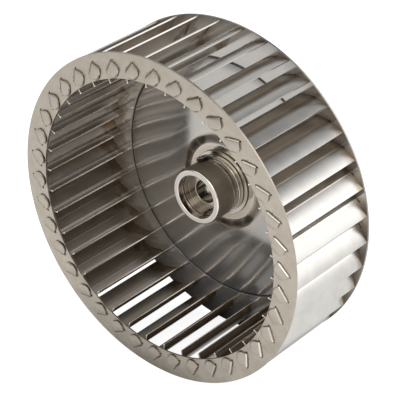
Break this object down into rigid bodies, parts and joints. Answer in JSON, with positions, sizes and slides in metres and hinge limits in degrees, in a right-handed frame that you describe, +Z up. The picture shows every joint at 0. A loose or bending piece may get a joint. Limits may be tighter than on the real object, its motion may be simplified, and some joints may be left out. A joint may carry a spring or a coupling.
{
  "type": "blower motor wheel",
  "caption": "Forward-curved centrifugal blower wheel: slotted inlet ring, pressed back plate, curved tabbed sheet-steel blades and a turned hub with a set screw.",
  "frame": {"origin": "centre of the wheel, on its axis, halfway between its front and its back", "axes": "Y along the wheel's axis: the inlet faces -Y and the back plate is at +Y; +Z up, with the wheel standing on its rim"},
  "size_m": [0.1598, 0.054, 0.1598],
  "materials": {
    "ring_steel": "satin plated sheet steel, finely scratched",
    "plate_steel": "bright plated sheet steel, nearly mirror-like",
    "blade_steel": "bright plated sheet steel with light stains",
    "hub_steel": "turned steel with fine rings",
    "washer_steel": "satin steel",
    "black_steel": "black oxide"
  },
  "bodies": {
    "wheel": {"front_ring": "ring_steel", "back_plate": "plate_steel", "blade_01": "blade_steel", "blade_02": "blade_steel", "blade_03": "blade_steel", "blade_04": "blade_steel", "blade_05": "blade_steel", "blade_06": "blade_steel", "blade_07": "blade_steel", "blade_08": "blade_steel", "blade_09": "blade_steel", "blade_10": "blade_steel", "blade_11": "blade_steel", "blade_12": "blade_steel", "blade_13": "blade_steel", "blade_14": "blade_steel", "blade_15": "blade_steel", "blade_16": "blade_steel", "blade_17": "blade_steel", "blade_18": "blade_steel", "blade_19": "blade_steel", "blade_20": "blade_steel", "blade_21": "blade_steel", "blade_22": "blade_steel", "blade_23": "blade_steel", "blade_24": "blade_steel", "blade_25": "blade_steel", "blade_26": "blade_steel", "blade_27": "blade_steel", "blade_28": "blade_steel", "blade_29": "blade_steel", "blade_30": "blade_steel", "blade_31": "blade_steel", "blade_32": "blade_steel", "blade_33": "blade_steel", "blade_34": "blade_steel", "blade_35": "blade_steel", "blade_36": "blade_steel", "blade_37": "blade_steel", "blade_38": "blade_steel", "hub": "hub_steel", "hub_washer": "washer_steel"},
    "set_screw": {"set_screw": "black_steel"}
  },
  "joints": [
    {"name": "set_screw_travel", "type": "slide", "parent": "wheel", "child": "set_screw", "axis": [-0.454, 0, 0.891], "range_m": [-0.0016, 0.004]}
  ]
}
